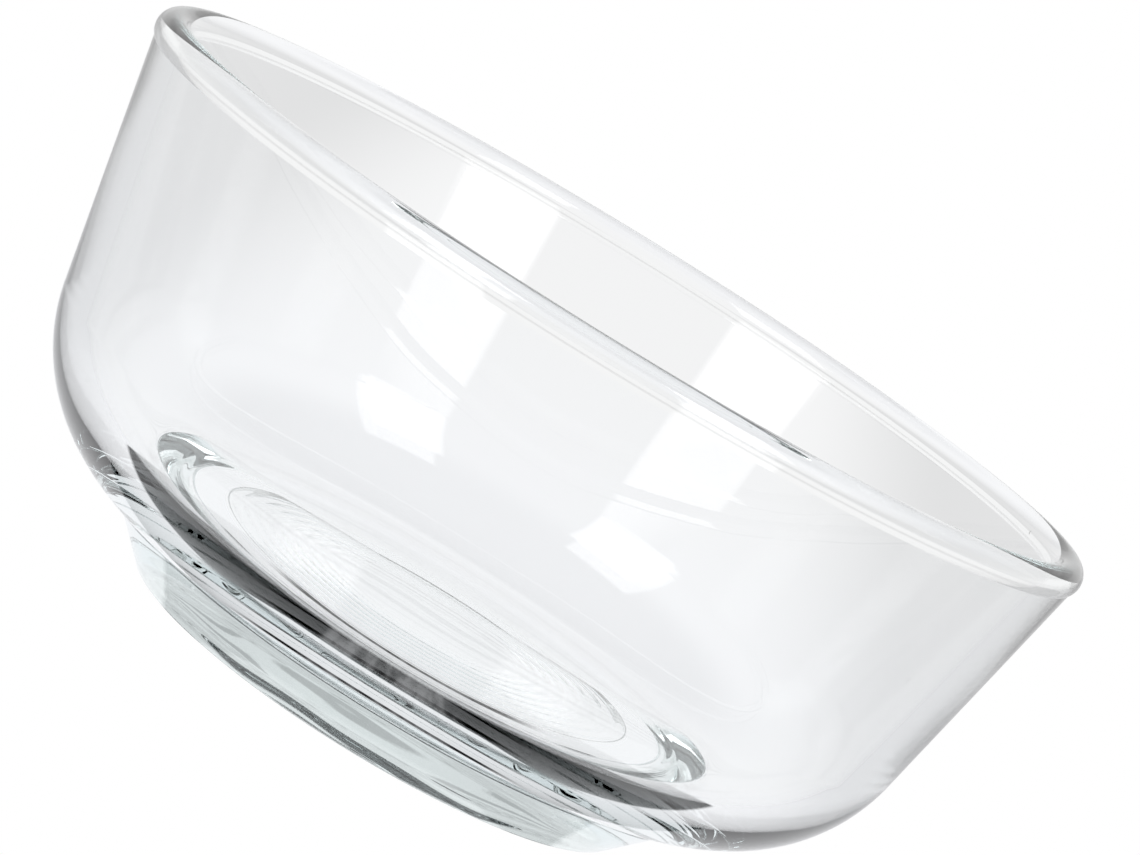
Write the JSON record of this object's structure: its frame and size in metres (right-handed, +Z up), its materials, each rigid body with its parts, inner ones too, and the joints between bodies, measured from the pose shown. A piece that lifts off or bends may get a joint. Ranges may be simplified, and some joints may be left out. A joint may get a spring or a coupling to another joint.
{
  "type": "crystallizing dish",
  "caption": "Clear one-piece glass dish with a rounded rim bead, leaning wall, round heel, flat floor and conical foot.",
  "frame": {"origin": "centre of the foot, level with the table it stands on", "axes": "+Z up along the dish's axis of revolution, X and Y across the dish, all directions around the axis alike"},
  "size_m": [0.14, 0.14, 0.0645],
  "materials": {
    "clear_glass": "clear pressed soda-lime glass, fire-polished, faint blue-green tint in the thick parts"
  },
  "bodies": {
    "root": {"dish": "clear_glass"}
  },
  "joints": []
}
